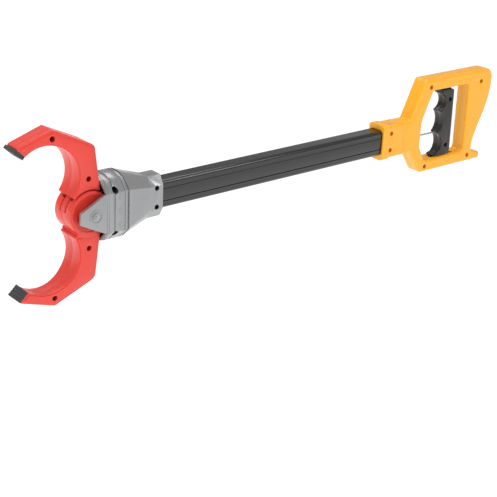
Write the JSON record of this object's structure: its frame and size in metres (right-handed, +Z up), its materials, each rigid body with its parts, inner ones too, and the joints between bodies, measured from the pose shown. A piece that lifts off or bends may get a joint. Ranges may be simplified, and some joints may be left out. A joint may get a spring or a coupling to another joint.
{
  "type": "reacher grabber",
  "caption": "Hand reacher with two curved claws on one pivot, a grey head, a grooved black tube and an amber D-handle whose finger trigger closes the claws.",
  "frame": {"origin": "centre of the hand grip, in the handle's opening region, on the plane between the two handle shells", "axes": "-X points along the tube to the claws, +X points out of the back of the handle, +Z is up with the handle's base down, -Y is the side with the screw recesses"},
  "size_m": [0.5527, 0.0449, 0.1488],
  "materials": {
    "claw_plastic": "satin moulded red, slightly translucent",
    "pad_rubber": "matte, ribbed",
    "head_plastic": "satin moulded grey",
    "tube_aluminium": "satin black anodised",
    "handle_plastic": "satin moulded amber yellow",
    "trigger_plastic": "satin moulded charcoal",
    "slider_plastic": "plain moulded nylon",
    "steel": "bright plated"
  },
  "bodies": {
    "frame": {"head_near_shell": "head_plastic", "head_far_shell": "head_plastic", "head_screws": "steel", "pivot_pin": "steel", "pivot_cap": "steel", "return_spring": "steel", "tube": "tube_aluminium", "rod_guides": "slider_plastic", "handle_near_shell": "handle_plastic", "handle_far_shell": "handle_plastic", "handle_screws": "steel"},
    "trigger_train": {"slider": "slider_plastic", "pull_rod": "steel", "rod_collar": "steel", "rod_anchor": "steel", "trigger_near_shell": "trigger_plastic", "trigger_far_shell": "trigger_plastic", "trigger_screws": "steel"},
    "upper_claw": {"upper_claw_near_shell": "claw_plastic", "upper_claw_far_shell": "claw_plastic", "upper_claw_screws": "steel", "upper_claw_pad": "pad_rubber", "upper_drive_pin": "steel"},
    "lower_claw": {"lower_claw_near_shell": "claw_plastic", "lower_claw_far_shell": "claw_plastic", "lower_claw_screws": "steel", "lower_claw_pad": "pad_rubber", "lower_drive_pins": "steel"}
  },
  "joints": [
    {"name": "trigger_pull", "type": "slide", "parent": "frame", "child": "trigger_train", "axis": [1, 0, 0], "range_m": [0, 0.00916], "stiffness_N_per_m": 600, "springref_m": -0.004, "deforming": ["return_spring"]},
    {"name": "upper_claw_pivot", "type": "hinge", "parent": "frame", "child": "upper_claw", "pos_m": [-0.466, 0, -0.008], "axis": [0, -1, 0], "range_deg": [0, 43.1]},
    {"name": "lower_claw_pivot", "type": "hinge", "parent": "frame", "child": "lower_claw", "pos_m": [-0.466, 0, -0.008], "axis": [0, 1, 0], "range_deg": [0, 43.1]}
  ],
  "couplings": [
    {"joint": "upper_claw_pivot", "follows": "trigger_pull", "rad_per_m": 81.909},
    {"joint": "lower_claw_pivot", "follows": "trigger_pull", "rad_per_m": 81.909}
  ]
}
